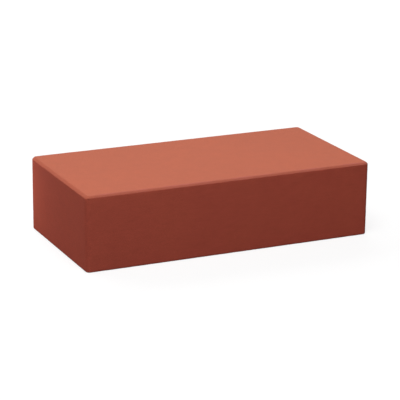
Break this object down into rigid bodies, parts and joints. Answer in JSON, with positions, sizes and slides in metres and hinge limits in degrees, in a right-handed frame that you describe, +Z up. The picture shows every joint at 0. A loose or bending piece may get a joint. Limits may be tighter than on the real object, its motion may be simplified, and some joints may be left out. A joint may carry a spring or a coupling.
{
  "type": "brick",
  "caption": "Solid smooth red fired-clay brick: a plain rectangular block with a narrow bevel round its top face, for paving, walls and edging.",
  "frame": {"origin": "middle of the bed face, on the floor that the brick lies on", "axes": "+X along the length, +Y across the width, +Z up to the bevelled top face"},
  "size_m": [0.2, 0.1, 0.05],
  "materials": {
    "fired_clay": "matt, unglazed, smooth pressed red clay"
  },
  "bodies": {
    "root": {"brick": "fired_clay"}
  },
  "joints": []
}
